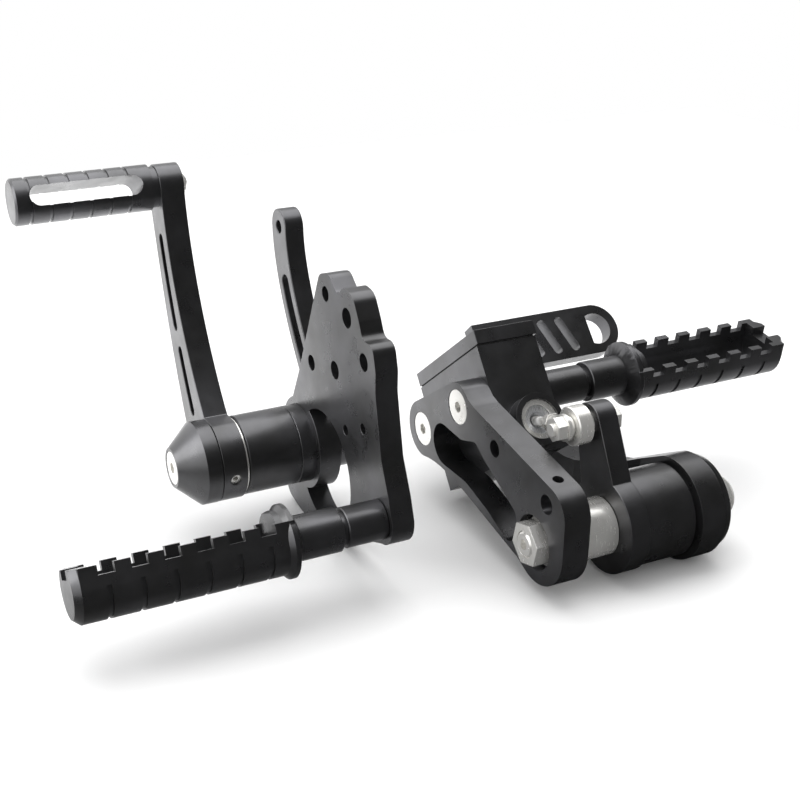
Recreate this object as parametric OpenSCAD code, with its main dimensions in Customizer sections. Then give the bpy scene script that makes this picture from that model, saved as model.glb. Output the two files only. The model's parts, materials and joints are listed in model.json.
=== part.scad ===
// Motorcycle forward controls: a shifter half and a brake half, standing side by side.
// X runs along both pivots, Y points to the front of the motorcycle, Z is up.

/* [Placing of the two halves] */
// Left pivot, sideways from the middle of the set
left_x = -119.42; // [-140:0.01:-100]
// Left pivot, forward from the middle of the set
left_y = 34.98; // [20:0.01:60]
// Right pivot, sideways from the left pivot
halves_dx = 124.75; // [118:0.25:160]
// Right pivot, back from the left pivot
halves_dy = 115.75; // [105:0.05:150]

/* [Fits] */
// Radial clearance of a running shaft in its bush
run_fit = 0.05; // [0.02:0.01:0.1]
// Radial clearance of a piece that is fixed in a hole
seat_fit = 0.02; // [0.01:0.01:0.04]
// Side clearance between turning faces
side_gap = 0.3; // [0.2:0.1:0.6]

/* [Shift pivot] */
// Length of the pivot cap
cap_len = 18.7; // [16:0.1:24]
// Length of the cone of the cap
cap_cone = 11.3; // [8:0.1:15]
// Radius of the small end of the cap
cap_r1 = 9.4; // [8.8:0.1:12]
// Radius of the large end of the cap
cap_r2 = 19.7; // [17:0.1:23]
// Radius of the shift shaft
shaft_r = 7.8; // [6:0.1:9]
// Outer radius of the pivot bushes
bush_r = 10.3; // [9.6:0.1:12]
// Length of a pivot bush
bush_len = 16; // [10:1:20]
// Outer radius of the pivot housing
housing_r = 18.9; // [17:0.1:22]
// Length of the pivot housing
housing_len = 46.3; // [40:0.1:60]
// Thickness of the bright hub washer
hub_washer_t = 1; // [0.6:0.1:2]
// Radius of the bright hub washer
hub_washer_r = 18.2; // [15:0.1:20]

/* [Shift lever] */
// Thickness of the shift lever
lever_t = 11.6; // [10:0.1:15]
// Forward reach of the shift lever
lever_y = 59.3; // [50:0.1:70]
// Height of the toe peg over the pivot
lever_z = 117.5; // [100:0.1:135]
// Radius of the top end of the lever
lever_tip_r = 10.4; // [9.5:0.1:12]
// Radius of the hub of the lever
lever_hub_r = 19.6; // [18:0.1:24]
// Width of the slots in the lever
lever_slot_w = 5.4; // [4:0.1:8]
// Depth of the slots in the lever
lever_slot_d = 6; // [3:0.1:8]

/* [Toe peg] */
// Radius of the toe peg
toe_r = 10.8; // [9:0.05:12]
// Length of the toe peg
toe_len = 67.2; // [58:0.1:80]
// Number of grooves round the toe peg
toe_grooves = 6; // [3:1:7]
// Spacing of the grooves round the toe peg
toe_pitch = 9.1; // [7:0.1:9.5]
// Width of the window through the toe peg
toe_window_w = 9.5; // [5:0.1:12]
// Length of the window through the toe peg
toe_window_len = 52; // [40:0.5:54]
// Place of the window from the outer end of the toe peg
toe_window_at = 7.2; // [4:0.1:12]
// Tilt of the window through the toe peg
toe_tilt = -26; // [-60:1:60]

/* [Linkage arm] */
// Thickness of the linkage arm
arm_t = 9.8; // [8:0.1:13]
// Forward reach of the linkage arm
arm_y = 52.7; // [45:0.1:60]
// Height of the linkage hole over the pivot
arm_z = 92.3; // [80:0.1:105]
// Radius of the linkage hole
arm_hole_r = 3.2; // [2.5:0.1:4]
// Radius of the top end of the arm
arm_tip_r = 8.9; // [8:0.1:11]
// Radius of the hub of the arm
arm_hub_r = 15; // [13:0.5:18]
// Width of the slot in the arm
arm_slot_w = 7.9; // [5:0.1:9]

/* [Shift plate] */
// Thickness of the shift plate
plate_t = 10.6; // [8:0.1:16]
// Reach of the pivot housing past the back of the plate
housing_out = 2.2; // [0.5:0.1:5]
// Radius of the wall that holds the pivot housing
plate_ring_r = 22.6; // [21:0.1:26]
// Radius of the large opening
opening_r = 28.6; // [25:0.1:30]
// Radius of the boss round the foot peg bolt
peg_boss_r = 11.6; // [10.5:0.1:14]
// Foot peg axis behind the shift pivot
left_peg_y = -86.2; // [-95:0.1:-80]
// Foot peg axis over the shift pivot
left_peg_z = -1.8; // [-8:0.1:4]

/* [Foot pegs] */
// Length of a foot peg
peg_len = 96; // [90:0.5:110]
// Outer radius of the channel of a foot peg
peg_r = 14; // [12:0.1:16]
// Wall of the channel of a foot peg
peg_wall = 3.2; // [2.5:0.1:4]
// Height of the rails over the peg axis
rail_h = 8.6; // [6:0.1:13]
// Notches along each rail
notches = 6; // [4:1:6]
// Spacing of the notches
notch_pitch = 13.4; // [12:0.1:13.6]
// Width of a notch
notch_w = 6.8; // [4:0.1:8]
// Depth of a notch
notch_d = 4; // [3:0.1:6]
// Radius of the mount next to the bracket
mount_r = 8.9; // [8:0.1:11]
// Radius of the collar next to the foot peg
collar_r = 9.8; // [8.5:0.1:11]
// Length of the collar next to the foot peg
collar_len = 19.5; // [15:0.1:25]
// Thickness of the narrow neck between mount and collar
neck_t = 2.6; // [1.5:0.1:5]
// Radius of the foot peg bolts
peg_bolt_r = 4; // [3:0.5:5]
// Turn of the left foot peg's open side, from the front
left_peg_turn = 64; // [0:1:90]
// Turn of the right foot peg's open side, from the front
right_peg_turn = 100; // [60:1:120]
// Length of the left mount
left_mount_len = 18.4; // [15:0.1:30]
// Length of the right mount
right_mount_len = 22.4; // [15:0.1:30]

/* [Brake bracket] */
// Thickness of the brake bracket
bracket_t = 13.1; // [11:0.1:16]
// Radius of the recess for the lock nut
recess_r = 12.6; // [11:0.1:14]
// Depth of the recess for the lock nut
recess_d = 6; // [4:0.1:8]
// Width over the flats of the lock nut
nut_af = 18; // [14:0.1:20]
// Reach of the lock nut past the inner face of the bracket
nut_out = 4.6; // [0:0.1:6]

/* [Brake pivot] */
// Radius of the pivot bolt
pivot_r = 6; // [5:0.1:7]
// Outer radius of the spacer sleeve
sleeve_r = 13.3; // [11:0.1:15]
// Length of the spacer sleeve
sleeve_len = 22.6; // [20:0.1:30]
// Thickness of the actuating lever
actuator_t = 10.1; // [8:0.1:13]
// Outer radius of the pedal's hub tube
hub_r = 21.6; // [19:0.1:24]
// Length of the pedal's hub tube
hub_len = 25; // [20:0.1:40]
// Radius of the pedal's ring
ring_r = 24.3; // [22:0.1:28]
// Length of the pedal's ring
ring_len = 12.5; // [10:0.1:28]
// Gap between the hub tube and the ring, where the tube is turned down
ring_recess = 2; // [1:0.1:4]
// Outer radius of the pedal's bushes
pedal_bush_r = 9; // [8:0.1:11]
// Thickness of the end cap
end_cap_t = 5; // [3:0.1:8]
// Radius of the domed head of the pivot bolt
bolt_head_r = 10.5; // [8:0.1:14]
// Height of the domed head of the pivot bolt
bolt_head_t = 16; // [6:0.1:20]

/* [Actuating lever and pushrod] */
// Forward place of the rod end's bolt
rod_y = 15.1; // [12:0.1:20]
// Height of the rod end's bolt over the pivot
rod_z = 43.9; // [40:0.1:48]
// Radius of the top end of the actuating lever
actuator_tip_r = 9.1; // [8:0.1:11]
// Radius of the rod end's bolt
rod_bolt_r = 3; // [2.5:0.1:3.5]
// Outer radius of the rod end
rod_end_r = 9; // [8:0.1:10]
// Width of the rod end
rod_end_w = 7.6; // [6:0.1:9]
// Radius of the pushrod
pushrod_r = 2.5; // [2:0.1:3]

/* [Master cylinder] */
// Middle of the bore from the bracket
bore_x = 16.8; // [16:0.1:20]
// Forward place of the bore's mouth
mouth_y = 50.5; // [48:0.1:54]
// Height of the bore's mouth over the pivot
mouth_z = 31.3; // [29:0.1:34]
// Slope of the cylinder
slope = 36.4; // [34:0.1:39]
// Length of the cylinder body
cyl_len = 69; // [66:0.5:80]
// Width of the cylinder body
cyl_w = 31.9; // [30:0.1:36]
// Height of the body over the bore
cyl_up = 40.8; // [38:0.1:48]
// Depth of the body under the bore
cyl_down = 14; // [12:0.1:16]
// Thickness of the reservoir lid
lid_t = 6.9; // [5:0.1:11]
// Thickness of the lid's gasket
gasket_t = 0.8; // [0.5:0.1:1.5]
// Overhang of the lid
lid_over = 0.8; // [0.2:0.1:1.5]
// Radius of the bore
bore_r = 8; // [7:0.1:9]
// Radius of the bore's boss
boss_r = 12.4; // [11.5:0.1:13.5]
// Length of the bore's boss
boss_len = 8; // [5:0.1:10]
// Radius of the outlet port
port_r = 4.5; // [4:0.1:6]

/* [Brake pedal] */
// Width of the pedal arm
pedal_arm_w = 13; // [10:0.5:22]
// Inboard shift of the pedal arm from the ring
arm_jog = 18; // [10:0.5:24]
// Forward place of the pad's near edge
pad_y = 121; // [110:0.5:130]
// Height of the pad's near edge over the pivot
pad_z = 28; // [24:0.5:34]
// Slope of the pad's face
pad_slope = 49; // [35:1:60]
// Width of the pad
pad_w = 27.5; // [24:0.5:36]
// Thickness of the pad
pad_t = 9; // [7:0.1:12]
// Inboard end of the pad
pad_x0 = 47; // [46.5:0.5:55]
// Outboard end of the pad
pad_x1 = 133; // [125:0.5:145]

/* [Hidden] */
$fn = 96;
// Colours of the finishes
anodised = [0.07, 0.07, 0.075];
bright = [0.78, 0.78, 0.76];
bronze = [0.62, 0.48, 0.28];
rubber = [0.05, 0.05, 0.05];
// Overlap of a cutting tool past a face
past = 1;
// Screw heads that are sunk flush, radius and depth
sunk_r = 8.6;
sunk_d = 4.6;
// Places along the shift pivot, from the outer face of the cap inward
lever_x = cap_len;
washer_x = lever_x + lever_t;
housing_x = washer_x + hub_washer_t + side_gap;
housing_end = housing_x + housing_len;
plate_x = housing_end - housing_out - plate_t;
arm_x = housing_end + side_gap;
shaft_x = cap_len - 6;
shaft_end = arm_x + arm_t;
// Seam of the housing, from its outer end
seam = 26;
// Places along the brake pivot, from the inner face of the bracket outward
sleeve_x = bracket_t;
actuator_x = sleeve_x + sleeve_len + side_gap;
hub_x = actuator_x + actuator_t;
hub_end = hub_x + hub_len;
ring_x = hub_end + ring_recess;
ring_end = ring_x + ring_len;
cap_x = ring_end + side_gap;
cap_end = cap_x + end_cap_t;
// Floor under the set
left_h = 37.95;
right_h = ring_r;
// Peg face places
left_peg_x = plate_x - left_mount_len - neck_t - collar_len;
right_peg_x = bracket_t + cyl_w + right_mount_len + neck_t + collar_len;
right_peg_y = mouth_y + 11 * cos(slope) + 16.4 * sin(slope);
right_peg_z = mouth_z - 11 * sin(slope) + 16.4 * cos(slope);

// A flat outline in Y and Z, extruded along X
module along_x(x0, x1) translate([x0, 0, 0]) rotate([90, 0, 90]) linear_extrude(x1 - x0) children();
// A round bar along X
module bar_x(x0, x1, r) translate([x0, 0, 0]) rotate([0, 90, 0]) cylinder(h = x1 - x0, r = r);
// A turned profile of [radius, x] points
module turned(points) rotate([0, 90, 0]) rotate_extrude() polygon(points);
// A plain tube along X
module tube_x(x0, x1, r, hole) difference() {
    bar_x(x0, x1, r);
    bar_x(x0 - past, x1 + past, hole);
}
module at(y, z) translate([0, y, z]) children();
module left_half() translate([left_x, left_y, left_h]) children();
module right_half() translate([left_x + halves_dx, left_y - halves_dy, right_h]) children();

// A point on a cubic curve, and a run of such points
function bezier(p, t) = pow(1 - t, 3) * p[0] + 3 * t * pow(1 - t, 2) * p[1]
    + 3 * t * t * (1 - t) * p[2] + t * t * t * p[3];
function curve(p, t0 = 0, t1 = 1, n = 24) = [for (i = [0:n]) bezier(p, t0 + (t1 - t0) * i / n)];
function mean(a, b) = [for (i = [0:len(a) - 1]) (a[i] + b[i]) / 2];
function reversed(a) = [for (i = [len(a) - 1:-1:0]) a[i]];
function unit(v) = v / norm(v);
function left_of(v) = [-v[1], v[0]];
// The line of points a, moved sideways by d
function beside(a, d) = [for (i = [0:len(a) - 1])
    a[i] + d * left_of(unit(a[min(i + 1, len(a) - 1)] - a[max(i - 1, 0)]))];
// Points on an arc round c, from angle a0 to a1
function arc(c, r, a0, a1, n = 24) = [for (i = [0:n])
    c + r * [cos(a0 + (a1 - a0) * i / n), sin(a0 + (a1 - a0) * i / n)]];
function turn_of(v) = atan2(v[1], v[0]);
// A strip of width w along the line of points a, with round ends
module strip(a, w) {
    n = len(a) - 1;
    polygon(concat(reversed(beside(a, w / 2)),
        arc(a[0], w / 2, turn_of(a[1] - a[0]) + 95, turn_of(a[1] - a[0]) + 265, 14),
        beside(a, -w / 2),
        arc(a[n], w / 2, turn_of(a[n] - a[n - 1]) - 85, turn_of(a[n] - a[n - 1]) + 85, 14)));
}
// The area between two circles and their common tangents
module web(c0, r0, c1, r1) {
    turn = turn_of(c1 - c0);
    lean = acos((r0 - r1) / norm(c1 - c0));
    polygon(concat(arc(c0, r0, turn + lean, turn + 360 - lean), arc(c1, r1, turn - lean, turn + lean)));
}
// An outline through corners [y, z, radius], with round corners
function corner(a, b, c, r, n = 7) = let (
    u = unit(a - b), v = unit(c - b), half = acos(u * v) / 2,
    cut = min(r / tan(half), 0.49 * norm(a - b), 0.49 * norm(c - b)),
    q = cut * tan(half), m = b + unit(u + v) * (q / sin(half)),
    a0 = atan2((b + u * cut - m)[1], (b + u * cut - m)[0]),
    a1 = atan2((b + v * cut - m)[1], (b + v * cut - m)[0]),
    da = a1 - a0 > 180 ? a1 - a0 - 360 : a1 - a0 < -180 ? a1 - a0 + 360 : a1 - a0)
    [for (i = [0:n]) m + q * [cos(a0 + da * i / n), sin(a0 + da * i / n)]];
function rounded(p) = [for (i = [0:len(p) - 1]) let (n = len(p))
    each p[i][2] == 0 ? [[p[i][0], p[i][1]]] : corner([p[(i + n - 1) % n][0], p[(i + n - 1) % n][1]], [p[i][0], p[i][1]],
        [p[(i + 1) % n][0], p[(i + 1) % n][1]], p[i][2])];

// Socket of a screw, seen from its head at x, going in by d
module socket_x(x, af, d) translate([x, 0, 0]) rotate([0, 90, 0])
    cylinder(h = d, r = af / sqrt(3), $fn = 6);

// Shifter

front_edge = [[lever_y + 10.2, lever_z - 2.7], [lever_y - 0.3, lever_z - 39],
    [lever_y - 5.1, lever_z - 70], [25.2, -10]];
rear_edge = [[lever_y - 10.3, lever_z - 3.7], [lever_y - 15.5, lever_z - 41],
    [24.2, 42.3], [5.5, 19.3]];
module lever_outline() {
    polygon(concat(curve(front_edge), arc([0, 0], lever_hub_r, -32, -258, 32), reversed(curve(rear_edge)),
        arc([lever_y, lever_z], lever_tip_r, 190, -10)));
}
module shift_lever() color(anodised) left_half() difference() {
    along_x(lever_x, lever_x + lever_t) lever_outline();
    along_x(lever_x - past, lever_x + lever_slot_d) {
        strip(mean(curve(front_edge, 0.195, 0.56), curve(rear_edge, 0.195, 0.56)), lever_slot_w);
        strip(mean(curve(front_edge, 0.67, 0.895), curve(rear_edge, 0.67, 0.895)), lever_slot_w);
    }
    bar_x(lever_x - past, lever_x + lever_t + past, shaft_r + seat_fit);
    at(lever_y, lever_z) bar_x(lever_x - past, lever_x + lever_t + past, toe_bolt_r + seat_fit);
    set_screw_place() translate([0, 0, -past]) cylinder(h = set_screw_len + 6, r = set_screw_r + seat_fit);
}
// Set screw in the rear rim of the hub
set_screw_r = 2.5;
set_screw_len = 9;
set_screw_turn = 190;
module set_screw_place() translate([lever_x + lever_t / 2, 0, 0]) rotate([set_screw_turn - 90, 0, 0])
    translate([0, 0, shaft_r + past + 0.2]) children();
module lever_set_screw() color(anodised) left_half() set_screw_place() difference() {
    cylinder(h = set_screw_len, r = set_screw_r);
    translate([0, 0, set_screw_len - 2.5]) cylinder(h = 3, r = 1.4, $fn = 6);
}
module hub_washer() color(bright) left_half()
    tube_x(washer_x, washer_x + hub_washer_t, hub_washer_r, shaft_r + seat_fit);
module pivot_cap() color(anodised) left_half() difference() {
    turned([[0, 0], [cap_r1, 0], [cap_r2, cap_cone], [cap_r2, cap_len - 0.6],
        [cap_r2 - 0.6, cap_len], [0, cap_len]]);
    turned([[0, -past], [sunk_r - 0.4 + past, -past], [sunk_r - 0.4, 0], [4.1, sunk_d],
        [4.1, shaft_x - 0.2], [0, shaft_x - 0.2]]);
    bar_x(shaft_x - 0.2, cap_len + past, shaft_r + seat_fit);
}
module sunk_screw(x1, r, head_r) difference() {
    turned([[0, 0.2], [head_r - 0.3, 0.2], [r, sunk_d - 0.1], [r, x1], [0, x1]]);
    socket_x(-past, 5, 4);
}
module cap_screw() color(bright) left_half() sunk_screw(shaft_x + 12, 3.98, sunk_r - 0.5);
module shift_shaft() color(bright) left_half() difference() {
    turned([[0, shaft_x], [shaft_r, shaft_x], [shaft_r, shaft_end], [0, shaft_end]]);
    bar_x(shaft_x - past, shaft_x + 16, 4);
    bar_x(shaft_end - 16, shaft_end + past, 4);
}
module shift_housing() color(anodised) left_half() difference() {
    turned([[bush_r + seat_fit, housing_x], [housing_r - 0.6, housing_x], [housing_r, housing_x + 0.6],
        [housing_r, housing_x + seam - 0.4], [housing_r - 0.5, housing_x + seam],
        [housing_r, housing_x + seam + 0.4], [housing_r, housing_end],
        [bush_r + seat_fit, housing_end]]);
    bar_x(housing_x + bush_len, housing_end - bush_len, bush_r + 1.5);
}
module shift_bush_outer() color(bronze) left_half()
    tube_x(housing_x, housing_x + bush_len, bush_r, shaft_r + run_fit);
module shift_bush_inner() color(bronze) left_half()
    tube_x(housing_end - bush_len, housing_end, bush_r, shaft_r + run_fit);

// Toe peg, which reaches outward from the lever
toe_bolt_r = 3;
toe_x = lever_x - toe_len;
toe_neck = 3.2;
groove_w = 1.6;
groove_d = 0.9;
module shift_peg() color(anodised) left_half() at(lever_y, lever_z) difference() {
    turned([[0, toe_x], [toe_r - 1, toe_x], [toe_r, toe_x + 1], [toe_r, lever_x - toe_neck],
        [toe_r - 1.2, lever_x - toe_neck], [toe_r - 1.2, lever_x], [0, lever_x]]);
    for (i = [0:toe_grooves - 1]) tube_x(toe_x + 6.4 + toe_pitch * i, toe_x + 6.4 + toe_pitch * i + groove_w,
        toe_r + past, toe_r - groove_d);
    rotate([toe_tilt, 0, 0]) translate([toe_x + toe_window_at, 0, 0]) rotate([90, 0, 0]) {
        translate([toe_window_w / 2, 0, 0]) cylinder(h = 4 * toe_r, r = toe_window_w / 2, center = true);
        translate([toe_window_len - toe_window_w / 2, 0, 0])
            cylinder(h = 4 * toe_r, r = toe_window_w / 2, center = true);
        translate([toe_window_w / 2, -toe_window_w / 2, -2 * toe_r])
            cube([toe_window_len - toe_window_w, toe_window_w, 4 * toe_r]);
    }
    bar_x(lever_x - 7, lever_x + past, toe_bolt_r + seat_fit);
}
module button_screw(x0, x1, r, head_r, head_t, af) difference() {
    turned([[0, x0], [r, x0], [r, x1], [head_r, x1], [head_r, x1 + head_t * 0.35],
        [head_r * 0.86, x1 + head_t * 0.72], [head_r * 0.6, x1 + head_t], [0, x1 + head_t]]);
    socket_x(x1 + head_t - 2.6, af, 3);
}
module shift_peg_screw() color(bright) left_half() at(lever_y, lever_z)
    button_screw(lever_x - 6.5, lever_x + lever_t, toe_bolt_r, 5.5, 3.6, 4);

// Linkage arm on the inner end of the shaft
arm_line = [[arm_y, arm_z], [arm_y - 0.3, arm_z - 31.8], [20.2, 21.2], [0, 0]];
module linkage_arm() color(anodised) left_half() difference() {
    along_x(arm_x, arm_x + arm_t) {
        strip(curve(arm_line), 2 * arm_tip_r);
        circle(arm_hub_r);
    }
    along_x(arm_x - past, arm_x + arm_t + past) strip(curve(arm_line, 0.27, 0.7), arm_slot_w);
    at(arm_y, arm_z) bar_x(arm_x - past, arm_x + arm_t + past, arm_hole_r);
    bar_x(arm_x - past, arm_x + arm_t + past, shaft_r + seat_fit);
}
module linkage_arm_screw() color(bright) left_half() {
    tube_x(shaft_end, shaft_end + 1.6, 11, 4.2);
    button_screw(shaft_end - 15, shaft_end + 1.6, 3.98, 6.5, 4.2, 5);
}

// Holes of the shift plate, as [y, z, radius]
plate_holes = [[-32.3, 84.3, 3.5], [-54.4, 79.9, 4.5], [-70.9, 65.1, 4], [-14.9, 46, 3.7],
    [-41, 51.3, 4.2], [-51.4, 26.3, 2.5], [-69.4, 33.9, 2.5]];
opening_y = -27;
opening_z = -3;
module plate_outline() polygon(rounded(concat(
    [for (q = arc([0, 0], plate_ring_r, -25, 66, 14)) [q[0], q[1], 0]],
    [[-0.5, 38.5, 40], [-8.2, 54.5, 60], [-23.5, 87, 6], [-26, 92, 6], [-36, 94.8, 6], [-45.5, 87, 7],
    [-50, 92.8, 8], [-60.5, 91.8, 8], [-66.5, 82, 6], [-70, 74.5, 5], [-79.5, 75.4, 7], [-82.4, 64, 8],
    [-82, 54.5, 20], [-87.2, 26.2, 20], [left_peg_y - peg_boss_r + 3.4, left_peg_z + 12, 14]],
    [for (q = arc([left_peg_y, left_peg_z], peg_boss_r, 170, 262, 14)) [q[0], q[1], 0]],
    [[-58, -24.5, 40], [-28, -37.95, 16], [2, -37.95, 10], [20.5, -34, 9]])));
module shift_plate() color(anodised) left_half() difference() {
    along_x(plate_x, plate_x + plate_t) difference() {
        plate_outline();
        difference() {
            translate([opening_y, opening_z]) circle(opening_r);
            circle(plate_ring_r);
        }
    }
    bar_x(plate_x - past, plate_x + plate_t + past, housing_r + seat_fit);
    for (h = plate_holes) at(h[0], h[1]) bar_x(plate_x - past, plate_x + plate_t + past, h[2]);
    at(left_peg_y, left_peg_z) {
        bar_x(plate_x - past, plate_x + plate_t + past, peg_bolt_r + seat_fit);
        translate([plate_x + plate_t, 0, 0]) mirror([1, 0, 0]) sunk_hole();
    }
}
// Countersink for a flush screw whose head is at x = 0
module sunk_hole() turned([[0, -past], [sunk_r + past, -past], [sunk_r, 0], [peg_bolt_r, sunk_d], [0, sunk_d]]);

// Foot peg, drawn with its root at x = 0 and its open side up, reaching along +X
module peg_section(r) {
    circle(r);
    translate([-r, 0]) square([2 * r, rail_h]);
}
notch_x = 15;
root_x = 5.2;
channel_x = 10;
end_t = 4.5;
module footpeg() difference() {
    union() {
        along_x(3, peg_len - 3) peg_section(peg_r);
        turned([[0, 0], [collar_r, 0], [peg_r + 2, 3.2], [peg_r + 2, root_x], [peg_r, root_x + 2], [0, root_x + 2]]);
        turned([[0, peg_len - 3], [peg_r, peg_len - 3], [peg_r - 2.6, peg_len], [0, peg_len]]);
    }
    along_x(channel_x, peg_len - end_t - 3) polygon(concat(arc([0, 0], peg_r - peg_wall, 180, 360),
        [[peg_r - peg_wall, 2 * peg_r], [peg_wall - peg_r, 2 * peg_r]]));
    translate([notch_x + 1, -2 * peg_r, rail_h]) cube([peg_len, 4 * peg_r, 2 * peg_r]);
    rotate([90, 0, 0]) linear_extrude(4 * peg_r, center = true)
        polygon([[root_x, peg_r + 2.5], [notch_x + 1, rail_h], [notch_x + 1, peg_r + 4], [root_x, peg_r + 4]]);
    for (i = [0:notches - 1]) translate([notch_x + notch_pitch * i, 0, rail_h - notch_d]) {
        translate([-notch_w / 2, -2 * peg_r, 0]) cube([notch_w, 4 * peg_r, notch_d + past]);
    }
    translate([peg_len - end_t - 4, -5, rail_h - notch_d]) cube([10, 10, notch_d + past]);
    for (i = [0:notches - 1]) difference() {
        tube_x(notch_x + notch_pitch * i - 1, notch_x + notch_pitch * i + 1, peg_r + 3, peg_r - 0.8);
        translate([0, -2 * peg_r, 0]) cube([2 * peg_len, 4 * peg_r, 2 * peg_r]);
    }
    bar_x(-past, 10, peg_bolt_r + seat_fit);
}
// Mount with its narrow neck, from its face at x = 0 outward
module peg_mount(length) difference() {
    turned([[0, 0], [mount_r - 0.4, 0], [mount_r, 0.4], [mount_r, length - 0.4], [mount_r - 0.4, length],
        [mount_r - 1.6, length], [mount_r - 1.6, length + neck_t], [0, length + neck_t]]);
    bar_x(-past, length + neck_t + past, peg_bolt_r + seat_fit);
}
module peg_collar() difference() {
    turned([[0, 0], [collar_r - 0.4, 0], [collar_r, 0.4], [collar_r, collar_len], [0, collar_len]]);
    bar_x(-past, collar_len + past, peg_bolt_r + seat_fit);
}
// Left foot peg, which reaches outward, so it is mirrored along X
module left_peg_frame() left_half() at(left_peg_y, left_peg_z) children();
module left_peg_mount() color(anodised) left_peg_frame()
    translate([plate_x, 0, 0]) mirror([1, 0, 0]) peg_mount(left_mount_len);
module left_peg_collar() color(anodised) left_peg_frame()
    translate([left_peg_x + collar_len, 0, 0]) mirror([1, 0, 0]) peg_collar();
module left_footpeg() color(anodised) left_peg_frame() translate([left_peg_x, 0, 0])
    rotate([left_peg_turn - 90, 0, 0]) mirror([1, 0, 0]) footpeg();
module left_peg_bolt() color(bright) left_peg_frame() translate([plate_x + plate_t, 0, 0])
    mirror([1, 0, 0]) sunk_screw(plate_x + plate_t - left_peg_x + 9, peg_bolt_r, sunk_r);

// Brake

screw_a = [mouth_y + 53.2 * cos(slope) + 17.1 * sin(slope), mouth_z - 53.2 * sin(slope) + 17.1 * cos(slope)];
screw_b = [right_peg_y, right_peg_z];
lobe_a = 14.1;
lobe_b = 11.8;
end_centre = [-2.2, 2.2];
end_r = 20.6;
under_edge = [[102.5, -0.5], [78, 5], [50, -6], [8, -14.6]];
module bracket_outline() polygon(concat(
    arc(screw_b, lobe_b, 118, 62, 10), arc(screw_a, lobe_a, 62, -92, 20), curve(under_edge, 0.08, 0.96, 12),
    arc(end_centre, end_r, -72, -180, 16), arc([-9.8, 17.8], 13.4, 180, 99, 10), [[54, 43.4], [59, 45]]));
module pear_slot() polygon(rounded([[92, 24.8, 10.5], [65, 22.8, 12], [51.5, 27, 5], [44.5, 21.8, 8],
    [13.5, 6.5, 6.5], [17, -11.5, 6], [39.7, -2.5, 40], [60, 3.2, 30], [92, 3.4, 10.5]]));
module brake_bracket() color(anodised) right_half() difference() {
    along_x(0, bracket_t) difference() {
        bracket_outline();
        pear_slot();
    }
    bar_x(-past, bracket_t + past, pivot_r + seat_fit);
    bar_x(-past, recess_d, recess_r);
    at(34.8, 30.5) bar_x(-past, bracket_t + past, 4);
    at(-8.7, 22.1) bar_x(-past, bracket_t + past, 4.5);
    translate([bracket_t / 2, -7, 20]) cylinder(h = 20, r = 2.5);
    for (s = [screw_a, screw_b]) at(s[0], s[1]) {
        bar_x(-past, bracket_t + past, peg_bolt_r + seat_fit);
        sunk_hole();
    }
}
// End of the bolt's thread, share of the head under its dome, and the nut's washer face
bolt_end = -nut_out - 0.5;
dome_from = 0.5;
nut_face = 1.2;
module pivot_bolt() color(bright) right_half() difference() {
    turned(concat([[0, bolt_end], [pivot_r - 1, bolt_end], [pivot_r, bolt_end + 1], [pivot_r, cap_end],
        [bolt_head_r, cap_end]], [for (i = [0:11]) [bolt_head_r * cos(7.5 * i),
        cap_end + bolt_head_t * (dome_from + (1 - dome_from) * sin(7.5 * i))]], [[0, cap_end + bolt_head_t]]));
    bar_x(bolt_end - past, bolt_end + 3, 2.4);
}
module pivot_lock_nut() color(bright) right_half() difference() {
    union() {
        bar_x(recess_d - nut_face, recess_d, recess_r - 1);
        translate([-nut_out, 0, 0]) rotate([0, 90, 0]) rotate([0, 0, 15])
            cylinder(h = nut_out + recess_d - nut_face, r = nut_af / sqrt(3), $fn = 6);
    }
    bar_x(-nut_out - past, bracket_t, pivot_r + seat_fit);
}
module spacer_sleeve() color(bright) right_half()
    tube_x(sleeve_x, sleeve_x + sleeve_len, sleeve_r, pivot_r + seat_fit);
module end_cap() color(anodised) right_half() difference() {
    turned([[0, cap_x], [ring_r - 0.8, cap_x], [ring_r - 0.8, cap_x + 1], [ring_r - 2.6, cap_end], [0, cap_end]]);
    bar_x(cap_x - past, cap_end + past, pivot_r + seat_fit);
}
module actuating_lever() color(anodised) right_half() difference() {
    along_x(actuator_x, actuator_x + actuator_t) {
        web([0, 0], 15, [rod_y, rod_z], actuator_tip_r);
        circle(hub_r + 1);
    }
    bar_x(actuator_x - past, hub_x + past, pedal_bush_r + seat_fit);
    at(rod_y, rod_z) bar_x(actuator_x - past, hub_x + past, rod_bolt_r + seat_fit);
}
module pedal_hub_tube() color(anodised) right_half()
    turned([[pedal_bush_r + seat_fit, hub_x], [hub_r, hub_x], [hub_r, hub_end], [hub_r - 2.4, hub_end],
        [hub_r - 2.4, ring_x], [pedal_bush_r + seat_fit, ring_x]]);
module pedal_bush_inner() color(bronze) right_half()
    tube_x(actuator_x, actuator_x + 20, pedal_bush_r, pivot_r + run_fit);
module pedal_bush_outer() color(bronze) right_half()
    tube_x(ring_end - 20, ring_end, pedal_bush_r, pivot_r + run_fit);
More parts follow.
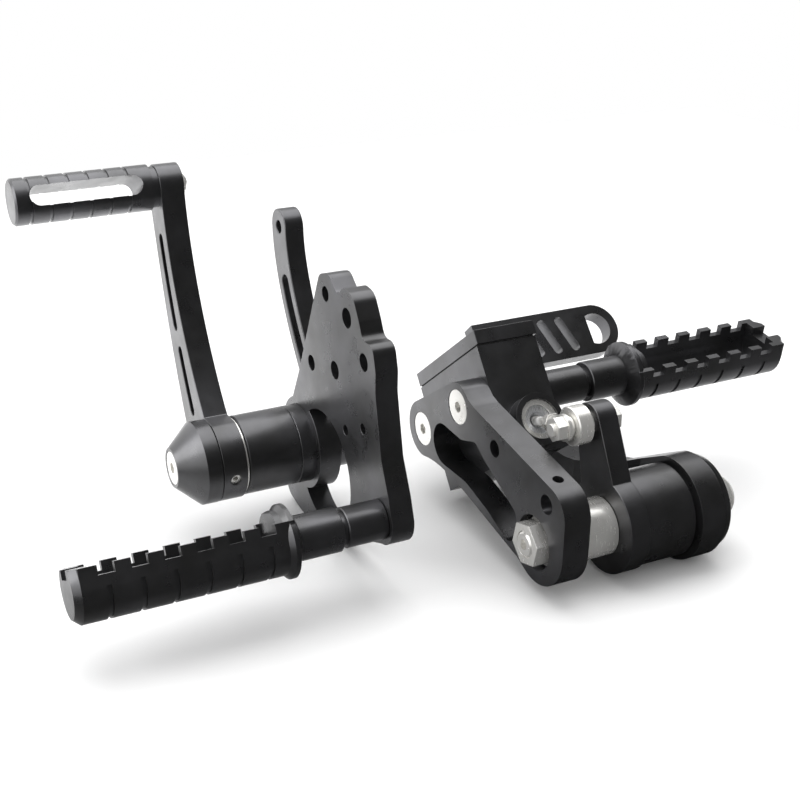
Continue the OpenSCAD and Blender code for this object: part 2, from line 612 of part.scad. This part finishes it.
// Pedal arm, jogged inboard so that it passes under the foot peg
arm_top = [[ring_x, -40], [ring_end, -40], [ring_end, 18], [ring_x + pedal_arm_w - arm_jog, 62],
    [ring_x + pedal_arm_w - arm_jog, pad_y + 30], [ring_x - arm_jog, pad_y + 30],
    [ring_x - arm_jog, 52], [ring_x, 24]];
module pedal_arm_side() polygon(concat(arc([0, 0], ring_r, 72, 288, 40),
    [[30, -18.5], [60, -16], [92, -14.5], [pad_y + 4, pad_z - 22], [pad_y + 20, pad_z - 4],
    [pad_y + 20, pad_z + 14], [pad_y - 2, pad_z - 4], [92, 4], [60, 5], [36, 9]]));
module pedal_arm() color(anodised) right_half() difference() {
    intersection() {
        along_x(ring_x - arm_jog, ring_end) pedal_arm_side();
        translate([0, 0, -60]) linear_extrude(160) polygon(arm_top);
    }
    bar_x(ring_x - arm_jog - past, ring_end + past, pedal_bush_r + seat_fit);
    pad_frame() translate([0, 0, -40]) pad_holes();
    pad_frame() translate([pad_x0, -pad_w, 0]) cube([pad_x1 - pad_x0, 3 * pad_w, 3 * pad_t]);
}
// Frame on the pad's underside: x inward along X, y up the slope, z out of the face
module pad_frame() translate([0, pad_y, pad_z]) rotate([pad_slope, 0, 0]) translate([0, 0, -pad_t]) children();
pad_screw_x = ring_x - arm_jog + pedal_arm_w / 2;
module pad_holes() for (dy = [8, 18]) translate([pad_screw_x, dy, 0]) cylinder(h = 60, r = 2.5 + seat_fit);
module pad_outline() difference() {
    union() {
        translate([pad_x0, 0]) square([pad_x1 - pad_x0 - pad_w / 2, pad_w]);
        translate([pad_x1 - pad_w / 2, pad_w / 2]) circle(pad_w / 2);
    }
    for (i = [0:3]) translate([pad_x1 - 32 - 11 * i, pad_w / 2]) rotate(18) strip([[0, -8], [0, 8]], 5);
    intersection() {
        translate([pad_x1 - pad_w / 2, pad_w / 2]) circle(pad_w / 2 - 5);
        translate([pad_x1 - pad_w / 2 - 4, 0]) square([pad_w, pad_w]);
    }
}
module pedal_pad() color(anodised) right_half() difference() {
    pad_frame() linear_extrude(pad_t) pad_outline();
    pad_frame() translate([0, 0, -past]) pad_holes();
}
module pad_screws() color(bright) right_half() pad_frame() for (dy = [8, 18])
    translate([pad_screw_x, dy, -8]) difference() {
        cylinder(h = pad_t + 7.4, r = 2.5);
        translate([0, 0, pad_t + 5]) cylinder(h = 4, r = 1.6, $fn = 6);
    }

// Rod end and pushrod
rod_x = bracket_t + bore_x;
module rod_frame() right_half() at(rod_y, rod_z) children();
module rod_end_bolt() color(bright) rod_frame() {
    bar_x(rod_x - rod_end_w / 2 - 10, hub_x, rod_bolt_r);
    translate([hub_x, 0, 0]) rotate([0, 90, 0]) cylinder(h = 4.6, r = 5.8, $fn = 6);
}
module rod_end_nut() color(bright) rod_frame() difference() {
    translate([rod_x - rod_end_w / 2 - 8.6, 0, 0]) rotate([0, 90, 0]) cylinder(h = 5, r = 5.8, $fn = 6);
    bar_x(0, hub_x, rod_bolt_r + seat_fit);
}
module rod_end_washers() color(bright) rod_frame() {
    tube_x(rod_x - rod_end_w / 2 - 3.6, rod_x - rod_end_w / 2 - 2, 6.2, rod_bolt_r + seat_fit);
    tube_x(rod_x - rod_end_w / 2 - 2, rod_x - rod_end_w / 2 - 0.6, 5.2, rod_bolt_r + seat_fit);
    tube_x(rod_x + rod_end_w / 2 + 0.6, actuator_x, 5.2, rod_bolt_r + seat_fit);
}
ball_r = 6;
// The ball's outline, from one flat to the other
function ball_line(r, reach) = [for (i = [-8:8]) let (t = asin(reach / r) * i / 8) [r * cos(t), rod_x + r * sin(t)]];
module rod_end_ball() color(bright) rod_frame()
    turned(concat([[rod_bolt_r + seat_fit, rod_x - rod_end_w / 2 - 0.6]], ball_line(ball_r, rod_end_w / 2 + 0.6),
        [[rod_bolt_r + seat_fit, rod_x + rod_end_w / 2 + 0.6]]));
// The pushrod's slope, from the rod end to the piston's cup
cup_in = -3;
cup = [mouth_y + cup_in * cos(slope), mouth_z - cup_in * sin(slope)];
rod_slope = atan2(rod_z - cup[1], cup[0] - rod_y);
rod_len = norm(cup - [rod_y, rod_z]);
tip_gap = 0.6;
module rod_line() rod_frame() translate([rod_x, 0, 0]) rotate([-rod_slope, 0, 0]) rotate([-90, 0, 0]) children();
module rod_end() color(bright) difference() {
    union() {
        rod_frame() turned(concat(ball_line(ball_r + 0.1, rod_end_w / 2),
            [[rod_end_r - 0.5, rod_x + rod_end_w / 2], [rod_end_r, rod_x + rod_end_w / 2 - 0.5],
            [rod_end_r, rod_x - rod_end_w / 2 + 0.5], [rod_end_r - 0.5, rod_x - rod_end_w / 2]]));
        rod_line() translate([0, 0, rod_end_r - 1.4]) cylinder(h = 20.4 - rod_end_r, r = 3.6);
    }
    rod_line() translate([0, 0, rod_end_r + 1]) cylinder(h = 20, r = pushrod_r + seat_fit);
}
module pushrod_nut() color(bright) difference() {
    rod_line() translate([0, 0, 19]) cylinder(h = 3.2, r = 4.7, $fn = 6);
    rod_line() cylinder(h = 30, r = pushrod_r + seat_fit);
}
module pushrod() color(bright) rod_line() {
    translate([0, 0, 11]) cylinder(h = rod_len - 11, r = pushrod_r);
    translate([0, 0, rod_len]) sphere(r = pushrod_r);
}

// Master cylinder, drawn with its bore along +Z from the mouth and its lid toward +Y
module cylinder_frame() right_half() translate([rod_x, mouth_y, mouth_z]) rotate([-slope, 0, 0])
    rotate([-90, 0, 0]) mirror([0, 1, 0]) children();
module cylinder_box(x0, x1, y0, y1, z0, z1) translate([x0, y0, z0]) cube([x1 - x0, y1 - y0, z1 - z0]);
// Sides of the body, from the bore
side_in = -bore_x;
side_out = cyl_w - bore_x;
wall = 3.4;
floor_y = 22;
module cylinder_body() color(anodised) difference() {
    cylinder_frame() difference() {
        union() {
            cylinder_box(side_in, side_out, -cyl_down, cyl_up, 0, cyl_len);
            translate([0, 0, -boss_len]) cylinder(h = boss_len + past, r = boss_r);
            translate([0, 0, cyl_len - past]) cylinder(h = past + 4, r = port_r + 3.5);
        }
        translate([0, 0, -boss_len - past]) cylinder(h = bore_end + boss_len + past, r = bore_r);
        translate([0, 0, -boss_len - past]) cylinder(h = 4 + past, r = bore_r + 1.6);
        translate([0, 0, bore_end - past]) cylinder(h = 20, r = port_r);
        cylinder_box(side_in + wall, side_out - wall, floor_y, cyl_up + past, wall + 16, cyl_len - wall - 16);
        cylinder_box(side_in + wall + 6, side_out - wall - 6, floor_y, cyl_up + past, wall, cyl_len - wall);
    }
    right_half() {
        at(screw_b[0], screw_b[1]) bar_x(bracket_t - past, bracket_t + cyl_w + past, peg_bolt_r + seat_fit);
        at(screw_a[0], screw_a[1]) bar_x(bracket_t - past, bracket_t + 20, peg_bolt_r + seat_fit);
    }
    cylinder_frame() lid_screw_places() translate([0, -12, 0]) rotate([-90, 0, 0]) cylinder(h = 20, r = 2 + seat_fit);
}
module lid_screw_places() for (sx = [side_in + 6.2, side_out - 6.2], z = [9, cyl_len - 9])
    translate([sx, cyl_up, z]) children();
module lid_gasket() color(rubber) difference() {
    cylinder_frame() cylinder_box(side_in + 0.6, side_out - 0.6, cyl_up, cyl_up + gasket_t, 0.6, cyl_len - 0.6);
    cylinder_frame() lid_screw_places() translate([0, -past, 0]) rotate([-90, 0, 0]) cylinder(h = 20, r = 2 + seat_fit);
}
module reservoir_lid() color(anodised) difference() {
    cylinder_frame() cylinder_box(side_in - lid_over + 1, side_out + lid_over, cyl_up + gasket_t,
        cyl_up + gasket_t + lid_t, -lid_over, cyl_len + lid_over);
    cylinder_frame() lid_screw_places() {
        rotate([-90, 0, 0]) cylinder(h = 20, r = 2 + seat_fit);
        translate([0, gasket_t + lid_t - 2.2, 0]) rotate([-90, 0, 0]) cylinder(h = 5, r = 4);
    }
}
module lid_screws() color(bright) cylinder_frame() lid_screw_places() difference() {
    union() {
        translate([0, -10, 0]) rotate([-90, 0, 0]) cylinder(h = 10 + gasket_t + lid_t - 2, r = 2);
        translate([0, gasket_t + lid_t - 2.2, 0]) rotate([-90, 0, 0]) cylinder(h = 2, r = 3.8);
    }
    translate([0, gasket_t + lid_t - 1.2, 0]) rotate([-90, 0, 0]) cylinder(h = 2, r = 1.5, $fn = 6);
}
piston_z = cup_in - 2;
// Travel that is left open between the piston and its pressed spring
stroke = 7.2;
module piston() color(bright) cylinder_frame() difference() {
    translate([0, 0, piston_z]) cylinder(h = bore_end - spring_len - stroke - piston_z, r = bore_r - run_fit);
    translate([0, 0, cup_in]) sphere(r = pushrod_r + tip_gap);
    translate([0, 0, piston_z - past]) cylinder(h = cup_in - piston_z + past, r = pushrod_r + 1.6);
}
bore_end = cyl_len - 9;
spring_len = 22;
spring_turns = 6;
module piston_spring() color(bright) cylinder_frame() translate([0, 0, bore_end - spring_len])
    linear_extrude(spring_len, twist = -360 * spring_turns, slices = 20 * spring_turns, $fn = 10)
        translate([bore_r - 1.8, 0]) circle(1.1);
module bore_circlip() color(bright) cylinder_frame() translate([0, 0, -boss_len + 1.4]) difference() {
    cylinder(h = 1.2, r = bore_r + 1.5);
    translate([0, 0, -past]) cylinder(h = 4, r = bore_r - 1);
}
module cylinder_screw() color(bright) right_half() at(screw_a[0], screw_a[1])
    sunk_screw(bracket_t + 18, peg_bolt_r, sunk_r);
// Right foot peg, on the same axis as the rear screw of the cylinder
module right_peg_frame() right_half() at(right_peg_y, right_peg_z) children();
module right_peg_mount() color(anodised) right_peg_frame()
    translate([bracket_t + cyl_w, 0, 0]) peg_mount(right_mount_len);
module right_peg_collar() color(anodised) right_peg_frame()
    translate([right_peg_x - collar_len, 0, 0]) peg_collar();
module right_footpeg() color(anodised) right_peg_frame() translate([right_peg_x, 0, 0])
    rotate([right_peg_turn - 90, 0, 0]) footpeg();
module right_peg_bolt() color(bright) right_peg_frame() sunk_screw(right_peg_x + 9, peg_bolt_r, sunk_r);

shift_plate();
shift_housing();
shift_bush_outer();
shift_bush_inner();
shift_shaft();
shift_lever();
lever_set_screw();
hub_washer();
pivot_cap();
cap_screw();
shift_peg();
shift_peg_screw();
linkage_arm();
linkage_arm_screw();
left_peg_mount();
left_peg_collar();
left_footpeg();
left_peg_bolt();
brake_bracket();
pivot_bolt();
pivot_lock_nut();
spacer_sleeve();
end_cap();
actuating_lever();
pedal_hub_tube();
pedal_bush_inner();
pedal_bush_outer();
pedal_arm();
pedal_pad();
pad_screws();
rod_end_bolt();
rod_end_nut();
rod_end_washers();
rod_end();
rod_end_ball();
pushrod();
pushrod_nut();
cylinder_body();
reservoir_lid();
lid_gasket();
lid_screws();
piston();
piston_spring();
bore_circlip();
cylinder_screw();
right_peg_mount();
right_peg_collar();
right_footpeg();
right_peg_bolt();
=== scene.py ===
import json
import math

import bmesh
import bpy
from mathutils import Matrix, Vector


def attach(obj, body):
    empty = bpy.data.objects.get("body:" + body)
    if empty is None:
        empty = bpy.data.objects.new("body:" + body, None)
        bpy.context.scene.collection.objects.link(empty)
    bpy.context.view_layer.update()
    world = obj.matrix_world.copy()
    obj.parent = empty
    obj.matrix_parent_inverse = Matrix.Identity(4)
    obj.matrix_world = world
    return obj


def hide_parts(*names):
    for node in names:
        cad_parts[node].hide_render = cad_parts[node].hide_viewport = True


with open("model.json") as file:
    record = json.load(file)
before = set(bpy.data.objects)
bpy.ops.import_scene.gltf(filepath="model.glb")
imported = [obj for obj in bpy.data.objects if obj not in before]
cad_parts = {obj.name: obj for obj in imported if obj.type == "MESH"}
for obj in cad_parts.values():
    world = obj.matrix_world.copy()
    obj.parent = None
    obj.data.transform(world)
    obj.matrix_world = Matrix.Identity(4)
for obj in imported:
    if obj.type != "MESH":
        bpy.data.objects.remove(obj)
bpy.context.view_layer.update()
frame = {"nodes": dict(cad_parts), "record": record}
nodes = frame["nodes"]
record = frame["record"]
slots = {part["node"]: part["material_slot"] for part in record["subparts"]}
bodies = record["behaviour"]["bodies"]
body_of = {node: body for body, members in bodies.items() for node in members}
MM = 0.001

# Camera, at the photograph's place and angle: metres, and the lens and sensor in millimetres
CAMERA_PLACE = Vector((-0.28767, -0.52781, 0.3115))
CAMERA_RIGHT = Vector((0.891, -0.454, 0.0))
CAMERA_UP = Vector((0.174, 0.341, 0.924))
LENS = 62.1
SENSOR = 36.0


def make_camera():
    data = bpy.data.cameras.new("camera")
    data.lens = LENS
    data.sensor_width = SENSOR
    camera = bpy.data.objects.new("camera", data)
    right = CAMERA_RIGHT.normalized()
    back = right.cross(CAMERA_UP).normalized()
    up = back.cross(right)
    turn = Matrix((right, up, back)).transposed().to_4x4()
    camera.matrix_world = Matrix.Translation(CAMERA_PLACE) @ turn
    bpy.context.scene.collection.objects.link(camera)
    bpy.context.scene.camera = camera


# Where a noise value starts and stops changing the colour or number that it drives
NOISE_LOW = 0.3
NOISE_HIGH = 0.7


class Nodes:
    """Short ways to add and link the nodes of one tree."""

    def __init__(self, tree):
        self.tree = tree

    def add(self, kind, **settings):
        made = self.tree.nodes.new(kind)
        for key, value in settings.items():
            setattr(made, key, value)
        return made

    def link(self, a, b):
        self.tree.links.new(a, b)

    def span(self, value, low, high, start=NOISE_LOW, end=NOISE_HIGH):
        """A number from low to high as the value goes from start to end."""
        made = self.add("ShaderNodeMapRange")
        made.inputs["From Min"].default_value = start
        made.inputs["From Max"].default_value = end
        made.inputs["To Min"].default_value = low
        made.inputs["To Max"].default_value = high
        self.link(value, made.inputs["Value"])
        return made.outputs["Result"]

    def in_gloss(self, plain, reflected):
        """The plain number, and the reflected value instead where a glossy surface sees it."""
        made = self.add("ShaderNodeMix", data_type="FLOAT")
        made.inputs["A"].default_value = plain
        self.link(self.add("ShaderNodeLightPath").outputs["Is Glossy Ray"], made.inputs["Factor"])
        self.link(reflected, made.inputs["B"])
        return made.outputs["Result"]


class Shader(Nodes):
    """A material with a Principled shader, driven by noise in the object's own space."""

    def __init__(self, name):
        self.material = bpy.data.materials.new(name)
        self.material.use_nodes = True
        super().__init__(self.material.node_tree)
        self.main = self.tree.nodes["Principled BSDF"]
        self.place = self.add("ShaderNodeTexCoord").outputs["Object"]

    def set(self, **values):
        for key, value in values.items():
            self.main.inputs[key.replace("_", " ")].default_value = value

    def noise(self, scale, detail=3.0, stretch=(1, 1, 1)):
        mapping = self.add("ShaderNodeMapping")
        mapping.inputs["Scale"].default_value = stretch
        self.link(self.place, mapping.inputs["Vector"])
        made = self.add("ShaderNodeTexNoise")
        made.inputs["Scale"].default_value = scale
        made.inputs["Detail"].default_value = detail
        self.link(mapping.outputs["Vector"], made.inputs["Vector"])
        return made.outputs["Fac"]

    def colour(self, noise, dark, light):
        made = self.add("ShaderNodeValToRGB")
        first, last = made.color_ramp.elements
        first.position, last.position = NOISE_LOW, NOISE_HIGH
        first.color = (*dark, 1)
        last.color = (*light, 1)
        self.link(noise, made.inputs["Fac"])
        self.link(made.outputs["Color"], self.main.inputs["Base Color"])

    def roughness(self, noise, low, high):
        self.link(self.span(noise, low, high), self.main.inputs["Roughness"])

    def bump(self, height, strength, distance):
        made = self.add("ShaderNodeBump")
        made.inputs["Strength"].default_value = strength
        made.inputs["Distance"].default_value = distance
        self.link(height, made.inputs["Height"])
        self.link(made.outputs["Normal"], self.main.inputs["Normal"])


def anodised(name, shade=0.105, gloss=0.3):
    """Satin black anodising: a hard dark skin over bead-blasted or milled aluminium."""
    s = Shader(name)
    s.set(Metallic=0.92, IOR=1.5)
    dark = (shade * 0.8, shade * 0.8, shade * 0.8)
    light = (shade * 1.25, shade * 1.25, shade * 1.32)
    s.colour(s.noise(scale=38.0, detail=4.0), dark, light)
    s.roughness(s.noise(scale=120.0, detail=5.0), low=gloss - 0.04, high=gloss + 0.05)
    s.bump(s.noise(scale=2600.0, detail=2.0), strength=0.05, distance=0.05 * MM)
    return s.material


def bright(name, colour=(0.86, 0.85, 0.82), rough=0.24, metal=0.7):
    """Plated, polished or machined bright metal with faint turning marks."""
    s = Shader(name)
    s.set(Metallic=metal)
    dull = tuple(tone * 0.94 for tone in colour)
    s.colour(s.noise(scale=90.0, detail=4.0), dull, colour)
    marks = s.noise(scale=260.0, detail=4.0, stretch=(12, 1, 1))
    s.roughness(marks, low=rough - 0.03, high=rough + 0.04)
    grain = s.noise(scale=900.0, detail=2.0, stretch=(6, 1, 1))
    s.bump(grain, strength=0.004, distance=0.1 * MM)
    return s.material


def rubber(name):
    """Matt rubber of the lid's gasket."""
    s = Shader(name)
    s.colour(s.noise(scale=200.0, detail=4.0), (0.012, 0.012, 0.012), (0.022, 0.022, 0.022))
    s.roughness(s.noise(scale=500.0), low=0.7, high=0.85)
    s.bump(s.noise(scale=1500.0), strength=0.1, distance=0.1 * MM)
    return s.material


looks = {
    "black_anodised": anodised("black_anodised"),
    "bright_steel": bright("bright_steel"),
    "bronze": bright("bronze", colour=(0.55, 0.38, 0.2), rough=0.3, metal=0.9),
    "bare_aluminium": bright("bare_aluminium", colour=(0.75, 0.76, 0.78), rough=0.28),
    "seal": rubber("seal"),
}


def paint(piece, material):
    piece.data.materials.clear()
    piece.data.materials.append(material)


# Width in millimetres of the small bevel on the pieces whose milled edges are broken
EDGE_BREAK = {
    "shift_plate": 0.7, "brake_bracket": 0.7, "shift_lever": 0.7, "linkage_arm": 0.6,
    "actuating_lever": 0.6, "pedal_arm": 0.8, "pedal_pad": 0.7, "cylinder_body": 0.6,
    "reservoir_lid": 0.5, "left_footpeg": 0.35, "right_footpeg": 0.35, "shift_peg": 0.3,
    "end_cap": 0.4, "pivot_lock_nut": 0.35, "rod_end_nut": 0.3, "rod_end_bolt": 0.3,
    "pushrod_nut": 0.3,
}
# Facets that meet at less than FLAT are one face, edges over SHARP are broken, and edges over
# CREASE stay sharp in the pieces that are left as they are
FLAT = math.radians(1.0)
SHARP = math.radians(28.0)
CREASE = math.radians(32.0)
SAME_POINT = 0.001 * MM
FLAT_FACE_WEIGHT = 90


def merge_facets(mesh):
    work = bmesh.new()
    work.from_mesh(mesh)
    bmesh.ops.remove_doubles(work, verts=work.verts, dist=SAME_POINT)
    bmesh.ops.dissolve_limit(work, angle_limit=FLAT, verts=work.verts, edges=work.edges)
    work.to_mesh(mesh)
    work.free()


def break_edges(node, width):
    """A copy of a CAD piece, the same but for its broken edges, which stands for it."""
    mesh = nodes[node].data.copy()
    piece = bpy.data.objects.new(node + "_edged", mesh)
    bpy.context.scene.collection.objects.link(piece)
    merge_facets(mesh)
    mesh.shade_smooth()
    edge = piece.modifiers.new("edge", "BEVEL")
    edge.width = width * MM
    edge.segments = 2
    edge.limit_method = "ANGLE"
    edge.angle_limit = SHARP
    edge.use_clamp_overlap = True
    level = piece.modifiers.new("level", "WEIGHTED_NORMAL")
    level.mode = "FACE_AREA"
    level.weight = FLAT_FACE_WEIGHT
    level.keep_sharp = False
    bpy.context.view_layer.update()
    shaped = piece.evaluated_get(bpy.context.evaluated_depsgraph_get())
    applied = bpy.data.meshes.new_from_object(shaped)
    piece.modifiers.clear()
    piece.data = applied
    paint(piece, looks[slots[node]])
    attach(piece, body_of[node])
    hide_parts(node)


def dress_nodes():
    for name, piece in nodes.items():
        paint(piece, looks[slots[name]])
        piece.data.shade_smooth()
        piece.data.set_sharp_from_angle(angle=CREASE)
    for name, width in EDGE_BREAK.items():
        break_edges(name, width)


# Floor: its side and the reach of its painted reflection in metres, and its shade as seen and as
# painted in reflections
FLOOR_SIZE = 1.6
FLOOR_SHADE = 0.93
PAINTED_REFLECTION_REACH = 0.09
PAINTED_REFLECTION_FRONT = 0.02
PAINTED_REFLECTION_BACK = 1.2


def make_floor():
    bpy.ops.mesh.primitive_plane_add(size=FLOOR_SIZE, location=(0, 0, 0))
    floor = bpy.context.object
    floor.name = "floor"
    s = Shader("pale_floor")
    s.set(Roughness=0.6, Specular_IOR_Level=0.15)
    # Painted reflection: seen only in the metal's reflections, the floor's colour is painted dark
    # toward the front and brighter than white toward the back, as a studio sweep would look
    across = s.add("ShaderNodeSeparateXYZ")
    s.link(s.place, across.inputs["Vector"])
    painted_reflection = s.span(across.outputs["Y"], PAINTED_REFLECTION_FRONT, PAINTED_REFLECTION_BACK, start=-PAINTED_REFLECTION_REACH, end=PAINTED_REFLECTION_REACH)
    s.link(s.in_gloss(FLOOR_SHADE, painted_reflection), s.main.inputs["Base Color"])
    paint(floor, s.material)


# World: white where the camera sees it, an even light on the object, and in reflections a studio
# that is bright to the left, the back and above, and dark to the front
ROOM_LIGHT = 0.85
WHITE = (1, 1, 1, 1)
BRIGHT_SIDE = Vector((-0.75, 0.45, 0.5)).normalized()
SWEEP_DARK = 0.03
SWEEP_BRIGHT = 1.6
SWEEP_START = -0.15
SWEEP_END = 0.75


def background(w, strength):
    made = w.add("ShaderNodeBackground")
    made.inputs["Color"].default_value = WHITE
    made.inputs["Strength"].default_value = strength
    return made


def make_world():
    world = bpy.data.worlds.new("studio")
    bpy.context.scene.world = world
    world.use_nodes = True
    w = Nodes(world.node_tree)
    w.tree.nodes.clear()
    path = w.add("ShaderNodeLightPath")
    seen = w.add("ShaderNodeMath", operation="MAXIMUM")
    w.link(path.outputs["Is Camera Ray"], seen.inputs[0])
    w.link(path.outputs["Is Transmission Ray"], seen.inputs[1])
    aim = w.add("ShaderNodeVectorMath", operation="DOT_PRODUCT")
    aim.inputs[1].default_value = BRIGHT_SIDE
    w.link(w.add("ShaderNodeTexCoord").outputs["Generated"], aim.inputs[0])
    sweep = w.span(aim.outputs["Value"], SWEEP_DARK, SWEEP_BRIGHT, SWEEP_START, SWEEP_END)
    soft = background(w, ROOM_LIGHT)
    w.link(w.in_gloss(ROOM_LIGHT, sweep), soft.inputs["Strength"])
    white = background(w, 1.0)
    mix = w.add("ShaderNodeMixShader")
    out = w.add("ShaderNodeOutputWorld")
    w.link(seen.outputs["Value"], mix.inputs["Fac"])
    w.link(soft.outputs["Background"], mix.inputs[1])
    w.link(white.outputs["Background"], mix.inputs[2])
    w.link(mix.outputs["Shader"], out.inputs["Surface"])


def soft_light(name, place, target, size, power):
    """A rectangular lamp that faces its target: metres and watts."""
    data = bpy.data.lights.new(name, "AREA")
    data.shape = "RECTANGLE"
    data.size, data.size_y = size
    data.energy = power
    lamp = bpy.data.objects.new(name, data)
    lamp.location = place
    aim = Vector(target) - Vector(place)
    lamp.rotation_euler = aim.to_track_quat("-Z", "Y").to_euler()
    bpy.context.scene.collection.objects.link(lamp)


def make_lights():
    soft_light("top", (0.1, 0.35, 1.3), target=(0, 0, 0.05), size=(1.8, 1.5), power=15.0)
    soft_light("left", (-1.2, 0.25, 0.6), target=(0, 0, 0.08), size=(0.8, 0.8), power=6.0)


make_camera()
dress_nodes()
make_floor()
make_world()
make_lights()
bpy.context.scene.view_settings.view_transform = "Standard"
